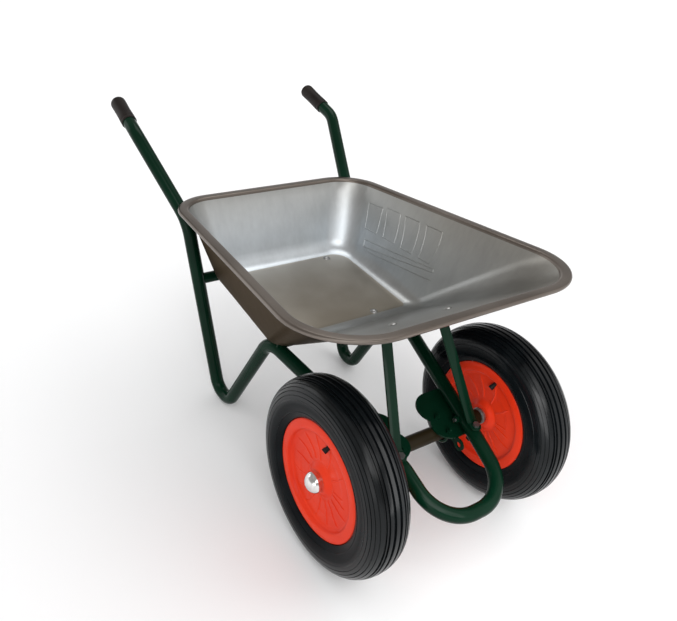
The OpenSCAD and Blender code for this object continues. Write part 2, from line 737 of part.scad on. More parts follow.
// One half of the rim, open to the wheel's middle plane below it; the ribs fan out from the front, bent to the rear
module rim_half(front) {
    w = rim_wall;
    base = hub_d / 2 + 12;
    neck_r = hub_d / 2 + 5;
    rotate_extrude() polygon([[well_r, 0], [well_r, rim_w / 2 - w], [rim_r - 3, rim_w / 2 - w], [rim_r, rim_w / 2 - w + 1],
        [rim_r + 0.8, rim_w / 2 - 1], [rim_r - 1, rim_w / 2], [well_r - 1, rim_w / 2], [face_r, face_u], [base, face_u],
        [neck_r, boss_u], [hub_d / 2 + seat, boss_u], [hub_d / 2 + seat, boss_u - w], [neck_r - 2, boss_u - w],
        [base - 2, face_u - w], [well_r - w, face_u - w], [well_r - w, 0]]);
    translate([0, 0, face_u - 0.5]) linear_extrude(rib_h + 0.5) for (i = [0 : rib_count / 2 - 1], s = [0, 1])
        rotate(front) mirror([0, s, 0]) rotate(360 * (i + 0.36) / rib_count) rib_shape();
}

// Slanted way of the valve through the rim
module valve_way(d, from, to) {
    a = [from[1], 0, from[0]];
    b = [to[1], 0, to[0]];
    along(a, b - a) cylinder(d = d, h = norm(b - a));
}

module valve() {
    color([0.05, 0.05, 0.05]) difference() {
        union() {
            valve_way(valve_d, valve_from, valve_to);
            valve_way(valve_d + 2, valve_neck, valve_to);
        }
        rotate_extrude() translate([well_r + 0.6, -10]) square([60, 60]);
    }
}

module hub_sleeve() {
    color([0.5, 0.5, 0.5]) translate([0, 0, -hub_half]) linear_extrude(hub_len) pipe_section(hub_d, bush_d);
}

// Two flanged bushes that turn on the spindle
module bushes() {
    bore = spindle_d + 2 * run_gap;
    color([0.85, 0.85, 0.8]) for (s = [0, 1]) mirror([0, 0, s]) {
        translate([0, 0, hub_half - 28]) linear_extrude(28) pipe_section(bush_d - 0.06, bore);
        translate([0, 0, hub_half]) linear_extrude(flange_t) pipe_section(hub_d - 3, bore);
    }
}

// Domed cap pressed over the outer end of the hub sleeve
module hub_cap() {
    r = cap_d / 2;
    base = hub_half + flange_t + 3;
    ball = (r * r + cap_dome * cap_dome) / (2 * cap_dome);
    color([0.8, 0.8, 0.82]) {
        translate([0, 0, cap_start]) linear_extrude(base - cap_start) pipe_section(cap_d, hub_d + 0.1);
        translate([0, 0, base]) difference() {
            intersection() {
                cylinder(r = r, h = cap_dome + 1);
                translate([0, 0, cap_dome - ball]) sphere(ball);
            }
            translate([0, 0, -1]) intersection() {
                cylinder(d = hub_d, h = cap_dome);
                translate([0, 0, cap_dome - ball]) sphere(ball - 1);
            }
        }
    }
}

// Both wheels carry the valve on their left face
valve_turn = -4;
module on_wheel(dir) {
    translate([dir * track / 2, 0, axle_z]) outward(dir) children();
}

module to_left(dir) {
    translate([dir * track / 2, 0, axle_z]) outward(-1) rotate([0, 0, valve_turn]) children();
}

module rim_with_valve(dir) {
    color([0.9, 0.24, 0.12]) to_left(dir) difference() {
        rim_half(-90 - valve_turn);
        valve_way(valve_d + 0.6, valve_from, valve_to);
        valve_way(valve_d + 3, valve_neck, valve_to);
    }
}

module rim_plain(dir) {
    color([0.9, 0.24, 0.12]) translate([dir * track / 2, 0, axle_z]) outward(1) rim_half(-90);
}

module left_tyre() {
    on_wheel(-1) tyre();
}

module right_tyre() {
    on_wheel(1) tyre();
}

module left_inner_tube() {
    on_wheel(-1) inner_tube();
}

module right_inner_tube() {
    on_wheel(1) inner_tube();
}

module left_rim_outer() {
    rim_with_valve(-1);
}

module left_rim_inner() {
    rim_plain(-1);
}

module right_rim_outer() {
    rim_plain(1);
}

module right_rim_inner() {
    rim_with_valve(1);
}

module left_hub_sleeve() {
    on_wheel(-1) hub_sleeve();
}

module right_hub_sleeve() {
    on_wheel(1) hub_sleeve();
}

module left_bushes() {
    on_wheel(-1) bushes();
}

module right_bushes() {
    on_wheel(1) bushes();
}

module left_valve() {
    to_left(-1) valve();
}

module right_valve() {
    to_left(1) valve();
}

module left_hub_cap() {
    on_wheel(-1) hub_cap();
}

module right_hub_cap() {
    on_wheel(1) hub_cap();
}

module to_origin() {
    translate([0, -middle_y, 0]) children();
}

to_origin() tray();
to_origin() left_side_tube();
to_origin() right_side_tube();
to_origin() front_loop();
to_origin() left_grip();
to_origin() right_grip();
to_origin() rear_cross_tube();
to_origin() rear_brackets();
to_origin() front_tray_bar();
to_origin() left_strut();
to_origin() right_strut();
to_origin() left_axle_plate();
to_origin() right_axle_plate();
to_origin() u_bolts();
to_origin() u_bolt_nuts();
to_origin() axle_tube();
to_origin() left_spindle();
to_origin() right_spindle();
to_origin() thrust_washers();
to_origin() split_pins();
to_origin() tray_bolts();
to_origin() tray_nuts();
to_origin() strut_bolts();
to_origin() strut_nuts();
to_origin() joint_bolts();
to_origin() joint_nuts();
to_origin() left_tyre();
to_origin() left_inner_tube();
to_origin() left_rim_outer();
to_origin() left_rim_inner();
to_origin() left_hub_sleeve();
to_origin() left_bushes();
to_origin() left_valve();
to_origin() left_hub_cap();
to_origin() right_tyre();
to_origin() right_inner_tube();
to_origin() right_rim_outer();
to_origin() right_rim_inner();
to_origin() right_hub_sleeve();
to_origin() right_bushes();
to_origin() right_valve();
to_origin() right_hub_cap();
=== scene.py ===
import math

import bmesh
import bpy
from mathutils import Matrix, Vector


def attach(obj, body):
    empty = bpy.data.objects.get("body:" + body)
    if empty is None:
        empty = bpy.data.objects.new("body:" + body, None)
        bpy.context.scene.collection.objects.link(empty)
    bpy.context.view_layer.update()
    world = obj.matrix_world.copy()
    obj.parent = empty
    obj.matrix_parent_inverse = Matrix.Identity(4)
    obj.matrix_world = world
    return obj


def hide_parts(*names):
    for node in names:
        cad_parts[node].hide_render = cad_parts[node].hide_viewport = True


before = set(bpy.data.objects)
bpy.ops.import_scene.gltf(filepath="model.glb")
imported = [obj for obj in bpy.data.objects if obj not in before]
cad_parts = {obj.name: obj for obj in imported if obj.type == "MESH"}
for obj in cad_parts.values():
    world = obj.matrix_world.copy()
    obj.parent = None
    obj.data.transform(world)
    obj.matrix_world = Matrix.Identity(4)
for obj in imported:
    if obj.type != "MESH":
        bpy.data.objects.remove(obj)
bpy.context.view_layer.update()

# Sizes in metres, as in the part's source; y of the tray, struts and grips is from the axle line
AXLE_Y = -0.367654
AXLE_Z = 0.195
TRACK = 0.420
SHEET = 0.0012
LIP = 0.020
BEAD = 0.005
FLOOR_Z = 0.298
RIM_FRONT = (0.338, -0.065, 0.556)
RIM_REAR = (0.254, 0.662, 0.452)
RIM_CORNERS = (0.140, 0.100)
FLOOR_FRONT = (0.196, 0.264)
FLOOR_REAR = (0.187, 0.566)
FLOOR_CORNERS = (0.034, 0.062)
RIM_SLOPE = (RIM_REAR[2] - RIM_FRONT[2]) / (RIM_REAR[1] - RIM_FRONT[1])
# Top of the wall: in from the rim, and down from it inside and outside
WALL_INSET = LIP + 0.004
WALL_DROP = 0.007
WALL_DROP_OUT = WALL_DROP + 0.4 * SHEET
# Rounded edge of the floor, softer than the 20 mm of the part's source
EDGE = 0.032
# Colour sockets of a Mix node
MIX_A, MIX_B, MIX_OUT = 6, 7, 2


def put(name, data):
    """Adds an object to the scene."""
    item = bpy.data.objects.new(name, data)
    bpy.context.scene.collection.objects.link(item)
    return item


def link(name, bm, body, nodes, mats, angle=40):
    """Turns a bmesh into a finished piece that rides on a body and stands for CAD nodes."""
    bmesh.ops.remove_doubles(bm, verts=bm.verts, dist=2e-6)
    bmesh.ops.recalc_face_normals(bm, faces=bm.faces)
    mesh = bpy.data.meshes.new(name)
    bm.to_mesh(mesh)
    bm.free()
    mesh.shade_smooth()
    mesh.set_sharp_from_angle(angle=math.radians(angle))
    for m in mats:
        mesh.materials.append(m)
    piece = put(name, mesh)
    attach(piece, body)
    if nodes:
        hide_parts(*nodes)


# Materials


class Paint:
    """A Principled material with helpers for the noise that drives it."""

    def __init__(self, name, **values):
        self.mat = bpy.data.materials.new(name)
        self.mat.use_nodes = True
        self.tree = self.mat.node_tree
        self.shader = self.tree.nodes["Principled BSDF"]
        self.coords = self.tree.nodes.new("ShaderNodeTexCoord")
        for key, value in values.items():
            self.shader.inputs[key.replace("_", " ")].default_value = value

    def add(self, kind, **settings):
        node = self.tree.nodes.new(kind)
        for key, value in settings.items():
            setattr(node, key, value)
        return node

    def join(self, a, b):
        self.tree.links.new(a, b)

    def noise(self, scale, detail=3.0, stretch=(1, 1, 1)):
        place = self.add("ShaderNodeMapping")
        place.inputs["Scale"].default_value = stretch
        self.join(self.coords.outputs["Object"], place.inputs["Vector"])
        n = self.add("ShaderNodeTexNoise")
        n.inputs["Scale"].default_value = scale
        n.inputs["Detail"].default_value = detail
        self.join(place.outputs["Vector"], n.inputs["Vector"])
        return n.outputs["Fac"]

    def ramp(self, fac, *stops):
        r = self.add("ShaderNodeValToRGB")
        points = r.color_ramp.elements
        for p, (at, colour) in zip(points, stops):
            p.position = at
            p.color = (*colour, 1.0)
        self.join(fac, r.inputs["Fac"])
        return r.outputs["Color"]

    def span(self, fac, low, high, to_low, to_high):
        m = self.add("ShaderNodeMapRange")
        ends = {"From Min": low, "From Max": high, "To Min": to_low, "To Max": to_high}
        for key, value in ends.items():
            m.inputs[key].default_value = value
        self.join(fac, m.inputs["Value"])
        return m.outputs["Result"]

    def blend(self, fac, a, b, kind="MIX"):
        m = self.add("ShaderNodeMix", data_type="RGBA", blend_type=kind)
        if isinstance(fac, float):
            m.inputs["Factor"].default_value = fac
        else:
            self.join(fac, m.inputs["Factor"])
        for value, socket in ((a, m.inputs[MIX_A]), (b, m.inputs[MIX_B])):
            if isinstance(value, tuple):
                socket.default_value = (*value, 1.0)
            else:
                self.join(value, socket)
        return m.outputs[MIX_OUT]

    def bump(self, height, strength, distance):
        b = self.add("ShaderNodeBump")
        b.inputs["Strength"].default_value = strength
        b.inputs["Distance"].default_value = distance
        self.join(height, b.inputs["Height"])
        self.join(b.outputs["Normal"], self.shader.inputs["Normal"])

    def along(self, way):
        """How far a point lies along a direction."""
        n = self.add("ShaderNodeVectorMath", operation="DOT_PRODUCT")
        n.inputs[1].default_value = way
        self.join(self.coords.outputs["Object"], n.inputs[0])
        return n.outputs["Value"]

    def colour(self, socket):
        self.join(socket, self.shader.inputs["Base Color"])

    def rough(self, socket):
        self.join(socket, self.shader.inputs["Roughness"])


# Painted shade on the zinc, from where it starts to where it is full: y at the nose, and depth below the rim
NOSE_PAINTED_SHADE = (0.22, -0.06)
RIM_PAINTED_SHADE = (0.11, 0.012)


def zinc(name, dark, light, rough_low, rough_high, streak=1.0, edge=(1, 1, 1), front=None, top=None):
    """Zinc coated sheet: drawing streaks up the walls, soft blotches and fine grain.

    The front and top tints are painted shade: they darken and brown the sheet towards the nose and towards
    the rim.
    """
    p = Paint(name, Metallic=1.0, Specular_Tint=(*edge, 1))
    lines = p.noise(1.0, 3.0, (120, 120, 3.5))
    wide = p.noise(1.0, 2.0, (26, 26, 1.6))
    blotch = p.noise(5.0, 3.0)
    grain = p.noise(650.0, 2.0)
    drawn = p.blend(0.6, lines, wide)
    both = p.blend(0.55 if streak > 0.5 else 0.9, drawn, blotch)
    base = p.ramp(both, (0.34, dark), (0.66, light))
    tone = p.blend(p.span(grain, 0.3, 0.7, 0.0, 0.05), base, light)
    # Painted shade: the sheet is darker and browner towards the nose
    if front:
        painted_shade = p.span(p.along((0, 1, 0)), *NOSE_PAINTED_SHADE, 0.0, 1.0)
        tone = p.blend(painted_shade, tone, front, "MULTIPLY")
    # Painted shade: the sheet is darker and browner towards the rim
    if top:
        rim = RIM_FRONT[2] - RIM_SLOPE * (RIM_FRONT[1] + AXLE_Y)
        height = p.along((0, -RIM_SLOPE, 1))
        painted_shade = p.span(height, rim - RIM_PAINTED_SHADE[0], rim - RIM_PAINTED_SHADE[1], 0.0, 1.0)
        tone = p.blend(painted_shade, tone, top, "MULTIPLY")
    p.colour(tone)
    p.rough(p.span(both, 0.3, 0.7, rough_low, rough_high))
    p.bump(p.blend(0.3, drawn, grain), 0.05 * streak, 0.0005)
    return p.mat


def enamel(name, dark, light, rough, coat, shine):
    """Glossy stove enamel with a slight ripple, faint dust and a change of tone."""
    p = Paint(name, Coat_Weight=coat, Coat_Roughness=0.06, Specular_IOR_Level=shine)
    p.colour(p.ramp(p.noise(9.0, 4.0), (0.32, dark), (0.7, light)))
    p.rough(p.span(p.noise(120.0, 4.0), 0.35, 0.7, rough, rough + 0.06))
    p.bump(p.noise(190.0, 2.0), 0.03, 0.0005)
    return p.mat


def worn(p, dark, light, rough_low, rough_high, grain, depth):
    """Gives a material the tone, worn patches and fine grain of moulded rubber."""
    wear = p.noise(16.0, 5.0)
    p.colour(p.ramp(wear, (0.34, dark), (0.7, light)))
    p.rough(p.span(wear, 0.32, 0.7, rough_low, rough_high))
    p.bump(p.noise(grain, 3.0), depth, 0.0005)


def rubber(name, dark, light, rough_low, rough_high, grain=900.0, depth=0.12, shine=0.35):
    """Moulded rubber or plastic of one shine."""
    p = Paint(name, Specular_IOR_Level=shine)
    worn(p, dark, light, rough_low, rough_high, grain, depth)
    return p.mat


def tyre_rubber(name, dark, light):
    """Black rubber that is polished by wear on the tread and shoulders and dull on the sidewalls."""
    sidewall, shoulder = 0.150, 0.166
    dull, polished = 0.06, 0.27
    p = Paint(name)
    worn(p, dark, light, 0.18, 0.28, 700.0, 0.08)
    place = p.add("ShaderNodeMapping")
    place.inputs["Scale"].default_value = (0, 1, 1)
    place.inputs["Location"].default_value = (0, -AXLE_Y, -AXLE_Z)
    p.join(p.coords.outputs["Object"], place.inputs["Vector"])
    radius = p.add("ShaderNodeVectorMath", operation="LENGTH")
    p.join(place.outputs["Vector"], radius.inputs[0])
    shine = p.span(radius.outputs["Value"], sidewall, shoulder, dull, polished)
    p.join(shine, p.shader.inputs["Specular IOR Level"])
    return p.mat


def bright(name, dark, light, rough_low, rough_high):
    """Plated metal with fine scuffs."""
    p = Paint(name, Metallic=1.0)
    scuff = p.noise(240.0, 5.0, (1, 1, 0.3))
    p.colour(p.ramp(scuff, (0.35, dark), (0.65, light)))
    p.rough(p.span(scuff, 0.3, 0.7, rough_low, rough_high))
    p.bump(scuff, 0.03, 0.0004)
    return p.mat


# One zinc in four copies: the floor, lip and outside copies are darker and browner than the inside as
# painted shade, standing in for the dim surroundings they reflect. The outside's brown edge tint is a
# painted reflection, and the front and top tints are painted shade too.
TRAY_IN = zinc("tray_zinc_inside", (0.50, 0.535, 0.565), (0.67, 0.715, 0.75), 0.30, 0.40,
               front=(0.66, 0.63, 0.59), top=(0.80, 0.755, 0.70))
TRAY_FLOOR = zinc("tray_zinc_floor_painted_shade", (0.300, 0.286, 0.260), (0.410, 0.400, 0.378), 0.32, 0.42,
                  streak=0.4, front=(0.86, 0.81, 0.73))
TRAY_LIP = zinc("tray_zinc_lip_painted_shade", (0.146, 0.123, 0.105), (0.210, 0.183, 0.161), 0.30, 0.42, streak=0.4)
TRAY_OUT = zinc("tray_zinc_outside_painted_shade", (0.026, 0.021, 0.017), (0.054, 0.046, 0.038), 0.36, 0.48,
                edge=(0.62, 0.55, 0.48))
GREEN = enamel("frame_green_enamel", (0.0012, 0.0135, 0.0062), (0.0024, 0.0215, 0.0105), 0.18, 0.10, 0.06)
ORANGE = enamel("rim_orange_enamel", (0.66, 0.029, 0.0070), (0.74, 0.041, 0.0105), 0.30, 0.03, 0.12)
TYRE = tyre_rubber("tyre_rubber_black", (0.0022, 0.0031, 0.0038), (0.0052, 0.0072, 0.0084))
TUBE = rubber("inner_tube_rubber", (0.008, 0.008, 0.008), (0.016, 0.016, 0.016), 0.5, 0.7)
GRIP = rubber("grip_rubber_dark", (0.008, 0.0055, 0.0048), (0.018, 0.0135, 0.0115), 0.40, 0.58,
              grain=520.0, depth=0.2, shine=0.15)
VALVE = rubber("valve_rubber_black", (0.006, 0.006, 0.006), (0.014, 0.014, 0.014), 0.40, 0.58, shine=0.15)
CHROME = bright("cap_chrome_plate", (0.70, 0.69, 0.68), (0.84, 0.83, 0.82), 0.04, 0.10)
STEEL = bright("zinc_plated_steel", (0.26, 0.26, 0.26), (0.42, 0.42, 0.41), 0.30, 0.46)
AXLE = enamel("axle_brown_enamel", (0.010, 0.0072, 0.0030), (0.021, 0.0150, 0.0068), 0.36, 0.04, 0.06)
NYLON = rubber("bush_nylon", (0.10, 0.10, 0.095), (0.16, 0.16, 0.15), 0.40, 0.55)


# Tray

IN_SLOT, FLOOR_SLOT, LIP_SLOT, OUT_SLOT = range(4)
EDGE_STEPS = 12
WALL_STEPS = 6
# Last ring of the rounded edge that still takes the floor's darker zinc, which is painted shade; the rings
# above take the lighter inside zinc
FLOOR_END = 2


def arc(a, b, c, r, n):
    """Points of the fillet of radius r in the corner b between a and c."""
    a, b, c = Vector(a), Vector(b), Vector(c)
    u, v = (a - b).normalized(), (c - b).normalized()
    half = u.angle(v) / 2
    start = b + u * (r / math.tan(half))
    middle = b + (u + v).normalized() * (r / math.sin(half))
    stop = b + v * (r / math.tan(half))
    first, last = start - middle, stop - middle
    turn = first.angle_signed(last)
    return [middle + Matrix.Rotation(-turn * k / n, 2) @ first for k in range(n + 1)]


def outline(front, rear, radii, inset, steps=26, gaps=(18, 26, 14, 26)):
    """Outline of the tray at some depth: a tapered plan with round corners, moved in."""
    (fx, fy), (rx, ry) = front, rear
    m = (fx - rx) / (ry - fy)
    w = inset * math.sqrt(1 + m * m)
    f, b = fy + inset, ry - inset
    fw, bw = fx - m * (f - fy) - w, fx - m * (b - fy) - w
    p = [(-fw, f), (fw, f), (bw, b), (-bw, b)]
    r = [max(radii[k] - inset, 0.002) for k in (0, 0, 1, 1)]
    corners = [arc(p[k - 1], p[k], p[(k + 1) % 4], r[k], steps) for k in range(4)]
    points = []
    for k in range(4):
        points += corners[k]
        here, there = corners[k][-1], corners[(k + 1) % 4][0]
        points += [here.lerp(there, j / gaps[k]) for j in range(1, gaps[k])]
    return points


def rim_z(y):
    """Height of the sloping rim."""
    return RIM_FRONT[2] + (y - RIM_FRONT[1]) * RIM_SLOPE


def rim_ring(inset, drop, *detail):
    """Ring that follows the sloping rim."""
    flat = outline(RIM_FRONT[:2], RIM_REAR[:2], RIM_CORNERS, inset, *detail)
    return [Vector((p.x, p.y, rim_z(p.y) - drop)) for p in flat]


def floor_ring(inset, up, *detail):
    """Ring on the floor."""
    flat = outline(FLOOR_FRONT, FLOOR_REAR, FLOOR_CORNERS, inset, *detail)
    return [Vector((p.x, p.y, FLOOR_Z + up)) for p in flat]


def edge_rings(flat, square, top):
    """Rings of the rounded edge from the floor up into the wall."""
    rings = []
    for k in range(EDGE_STEPS + 1):
        t = k / EDGE_STEPS
        ring = []
        for a, b, c in zip(flat, square, top):
            s = b + (c - b).normalized() * EDGE
            ring.append(a * (1 - t) ** 2 + b * (2 * t * (1 - t)) + s * t ** 2)
        rings.append(ring)
    return rings


def wall_rings(start, stop):
    """Rings along the wall between two rings, without the first."""
    return [[a.lerp(b, k / WALL_STEPS) for a, b in zip(start, stop)] for k in range(1, WALL_STEPS + 1)]


def lip_rings():
    """Rings over the lip: the bend out of the wall, the flat and the rolled bead."""
    bend, bend_wide, bend_high, flat_end = LIP - 0.002, 0.0056, 0.0062, 0.012
    bead_rings, bead_turn = 19, 15.5
    rings = []
    for a in (15, 35, 55, 75):
        s, c = math.sin(math.radians(a)), math.cos(math.radians(a))
        rings.append(rim_ring(bend + bend_wide * c, bend_high * (1 - s)))
    rings += [rim_ring(bend, 0), rim_ring(flat_end, 0)]
    for k in range(bead_rings):
        a = math.radians(90 - k * bead_turn)
        rings.append(rim_ring(BEAD - BEAD * math.cos(a), BEAD - BEAD * math.sin(a)))
    return rings


def under_rings():
    """Rings from the bead back under the lip to the wall."""
    places = ((0.0095, 0), (LIP - 0.0024, 0), (LIP - 0.0003, 0.0008), (LIP + 0.0014, 0.0028))
    return [rim_ring(inset, SHEET + down) for inset, down in places]


def placed(p):
    """A point drawn from the axle line, in the shared frame."""
    return Vector((p.x, p.y + AXLE_Y, p.z))


def grow(bm, loop, ring, index):
    """Extrudes a closed row of vertices and moves the new row onto the next ring."""
    edges = [bm.edges.get((loop[k - 1], loop[k])) for k in range(len(loop))]
    made = bmesh.ops.extrude_edge_only(bm, edges=edges)["geom"]
    old = set(loop)
    partner = {}
    for item in made:
        if isinstance(item, bmesh.types.BMFace):
            item.material_index = index
            for e in item.edges:
                a, b = e.verts
                if (a in old) != (b in old):
                    partner[a if a in old else b] = b if a in old else a
    fresh = [partner[v] for v in loop]
    for v, p in zip(fresh, ring):
        v.co = placed(p)
    return fresh


def loft(bands):
    """Skins a row of (ring, material slot) bands and closes both ends."""
    bm = bmesh.new()
    loop = [bm.verts.new(placed(p)) for p in bands[0][0]]
    for k in range(len(loop)):
        bm.edges.new((loop[k - 1], loop[k]))
    bmesh.ops.contextual_create(bm, geom=loop, mat_nr=bands[0][1])
    for ring, index in bands[1:]:
        loop = grow(bm, loop, ring, index)
    bmesh.ops.contextual_create(bm, geom=loop, mat_nr=bands[-1][1])
    return bm


def make_tray():
    top_in, top_out = rim_ring(WALL_INSET, WALL_DROP), rim_ring(WALL_INSET - SHEET, WALL_DROP_OUT)
    inner = edge_rings(floor_ring(EDGE + SHEET, SHEET), floor_ring(SHEET, SHEET), top_in)
    outer = edge_rings(floor_ring(EDGE, 0), floor_ring(0, 0), top_out)
    outside = under_rings() + [top_out] + wall_rings(top_out, outer[-1]) + outer[-2::-1]
    bands = [(r, FLOOR_SLOT if k <= FLOOR_END else IN_SLOT) for k, r in enumerate(inner)]
    bands += [(r, IN_SLOT) for r in wall_rings(inner[-1], top_in)]
    bands += [(r, LIP_SLOT) for r in lip_rings()]
    bands += [(r, OUT_SLOT) for r in outside]
    link("tray_pressing", loft(bands), "frame", ["tray"],
         [TRAY_IN, TRAY_FLOOR, TRAY_LIP, TRAY_OUT], 50)


make_tray()

# Ends of the straight parts of the walls, at the floor and at the lip
STRAIGHTS = (1, (1, 1, 1, 1))
FLOOR_LINE = floor_ring(SHEET, SHEET, *STRAIGHTS)
RIM_LINE = rim_ring(WALL_INSET, WALL_DROP, *STRAIGHTS)
RIDGE_HIGH, RIDGE_SUNK, RIDGE_HALF = 0.0008, 0.0001, 0.0013
# Corners of the pressed outlines as (front to rear, floor to lip), all plain panels
PRESSED = [
    [(0.97, 0.45), (0.845, 0.45), (0.865, 0.80), (0.98, 0.80)],
    [(0.775, 0.45), (0.655, 0.45), (0.735, 0.83), (0.84, 0.83)],
    [(0.585, 0.44), (0.47, 0.44), (0.59, 0.83), (0.70, 0.83)],
    [(0.40, 0.44), (0.29, 0.44), (0.43, 0.83), (0.545, 0.83)],
    [(0.945, 0.30), (0.225, 0.41), (0.20, 0.375), (0.94, 0.20)],
    [(0.93, 0.165), (0.13, 0.29)],
]


def wall_point(side, s, t):
    """A point on the inside of a side wall: s from front to rear, t from floor to lip."""
    low, high = FLOOR_LINE[3].lerp(FLOOR_LINE[4], s), RIM_LINE[3].lerp(RIM_LINE[4], s)
    p = placed(low.lerp(high, t))
    return Vector((side * p.x, p.y, p.z))


def make_pressings(side, name):
    """Low rounded ridges along the outlines."""
    small = 0.02
    bm = bmesh.new()
    for corners in PRESSED:
        runs = list(zip(corners, corners[1:] + corners[:1])) if len(corners) > 2 else [tuple(corners)]
        for (s0, t0), (s1, t1) in runs:
            grid = bmesh.ops.create_grid(bm, x_segments=24, y_segments=6, size=1.0)
            for v in grid["verts"]:
                k, across = (v.co.x + 1) / 2, v.co.y
                s, t = s0 + (s1 - s0) * k, t0 + (t1 - t0) * k
                here = wall_point(side, s, t)
                ahead = wall_point(side, s + (s1 - s0) * small, t + (t1 - t0) * small)
                along = (ahead - here).normalized()
                front = (wall_point(side, s - small, t) - here).normalized()
                up = (wall_point(side, s, t + small) - here).normalized()
                out = front.cross(up).normalized()
                out = out if out.x * side < 0 else -out
                lift = RIDGE_HIGH * math.cos(across * math.pi / 2) ** 1.5 - RIDGE_SUNK
                v.co = here + along.cross(out) * (across * RIDGE_HALF) + out * lift
    link(name, bm, "frame", [], [TRAY_IN], 60)


make_pressings(1, "right_wall_pressings")
make_pressings(-1, "left_wall_pressings")


# Wheels

TYRE_STEPS, RIM_STEPS = 220, 400
# Tyre: radius and half width at its widest line, heights above and below that line, and how round it is
TYRE_MID, TYRE_HALF = 0.15636, 0.045
TYRE_UP, TYRE_DOWN = 0.03864, 0.05036
TYRE_ROUND = 0.85
TYRE_FOOT = 0.1262
# Tread in millimetres along the outline from its middle: grooves as (from, to, depth) and raised side lines
GROOVES = ((3.5, 9.5, 4.0), (15.5, 20.0, 3.6), (21.8, 26.2, 3.6), (33.2, 34.9, 1.7), (41.0, 42.7, 1.7),
           (48.6, 50.2, 1.5), (56.5, 58.0, 1.2))
SIDE_LINES = ((66.0, 0.6), (90.0, 0.7))


def spun(bm, profile, x, steps):
    """Spins a closed outline of (radius, offset) points round the axle line at x."""
    verts = [bm.verts.new((x + u, AXLE_Y, AXLE_Z + r)) for r, u in profile]
    edges = [bm.edges.new((verts[k - 1], verts[k])) for k in range(len(verts))]
    bmesh.ops.spin(bm, geom=verts + edges, cent=(x, AXLE_Y, AXLE_Z), axis=(1, 0, 0),
                   angle=2 * math.pi, steps=steps, use_merge=True, use_duplicate=False)


def tyre_point(a):
    """Smooth outline of the tyre as (radius, offset), at an angle from its widest line."""
    s, c = math.sin(math.radians(a)), max(0.0, math.cos(math.radians(a)))
    height = TYRE_UP if a > 0 else TYRE_DOWN
    return Vector((TYRE_MID + math.copysign(height * abs(s) ** TYRE_ROUND, s), TYRE_HALF * c ** TYRE_ROUND))


def tread_lifts(end):
    """Heights of the tread above the smooth outline, as (distance along it, lift) in millimetres."""
    dip, foot, crest, spacing, clear = 0.6, 1.2, 0.5, 1.9, 0.4
    lifts, used = [], []
    for a, b, depth in GROOVES:
        e = min(0.8, 0.3 * (b - a))
        lifts += [(a, 0), (a + 0.4 * e, -dip), (a + e, -depth)]
        lifts += [(b - e, -depth), (b - 0.4 * e, -dip), (b, 0)]
        used.append((a, b))
    for m, high in SIDE_LINES:
        lifts += [(m - foot, 0), (m - crest, high), (m + crest, high), (m + foot, 0)]
        used.append((m - foot, m + foot))
    plain = [spacing * k for k in range(int(end / spacing) + 1)]
    lifts += [(at, 0) for at in plain if all(at < a - clear or at > b + clear for a, b in used)]
    return sorted(p for p in lifts if p[0] < end)


def tyre_half():
    """Outline from the middle of the tread to the bead, with its grooves and ridges."""
    top, bottom, step_angle = 90, -34, 0.25
    count = int((top - bottom) / step_angle) + 1
    smooth = [tyre_point(top - step_angle * k) for k in range(count)]
    gone = [0.0]
    for a, b in zip(smooth, smooth[1:]):
        gone.append(gone[-1] + (b - a).length * 1000)
    half, k = [], 0
    for at, lift in tread_lifts(gone[-1]):
        while gone[k + 1] < at:
            k += 1
        step = smooth[k + 1] - smooth[k]
        here = smooth[k] + step * ((at - gone[k]) / (gone[k + 1] - gone[k]))
        out = Vector((step.y, -step.x)).normalized()
        half.append(here + out * (lift / 1000))
    return [(p.x, p.y) for p in half if p.x > TYRE_FOOT]


def tyre_profile():
    bead = [(0.1212, 0.0322), (0.1216, 0.0352), (0.1226, 0.0366), (0.1242, 0.0374)]
    cavity = [(0.1850, 0.0150), (0.1760, 0.0300), (0.1600, 0.0370), (0.1400, 0.0370), (0.1230, 0.0300)]
    near = bead + tyre_half()[::-1]
    return near + [(r, -u) for r, u in reversed(near[:-1])] + [(r, -u) for r, u in reversed(cavity)] + cavity


def face_at(r):
    """Offset of the rim's face: an outer ring, a soft step down and a flat middle."""
    middle, step_high, step_start, step_wide = 0.0258, 0.0009, 0.063, 0.009
    k = min(1.0, max(0.0, (r - step_start) / step_wide))
    return middle + step_high * k * k * (3 - 2 * k)


def rim_profile():
    """Half of the rim, from the split line out to the flange, face, boss and back inside."""
    flange = [(0.101, 0.0001), (0.101, 0.0310), (0.1015, 0.0320), (0.1170, 0.0320), (0.1192, 0.0326),
              (0.1204, 0.0334), (0.1207, 0.0342), (0.1201, 0.0350), (0.1188, 0.0355), (0.1160, 0.0360),
              (0.1120, 0.0362), (0.1070, 0.0361), (0.1030, 0.0358), (0.1012, 0.0352), (0.1003, 0.0342),
              (0.0988, 0.0302), (0.0978, 0.0288), (0.0960, 0.0280)]
    face = [(0.001 * r, face_at(0.001 * r)) for r in range(94, 40, -2)]
    boss = [(0.0385, 0.0252), (0.0360, 0.0258), (0.0335, 0.0271), (0.0300, 0.0300), (0.0268, 0.0326),
            (0.0252, 0.0336), (0.0236, 0.0340), (0.0181, 0.0340), (0.0181, 0.0310), (0.0215, 0.0310),
            (0.0310, 0.0222)]
    return flange + face + boss + [(0.0980, 0.0222), (0.0980, 0.0001)]


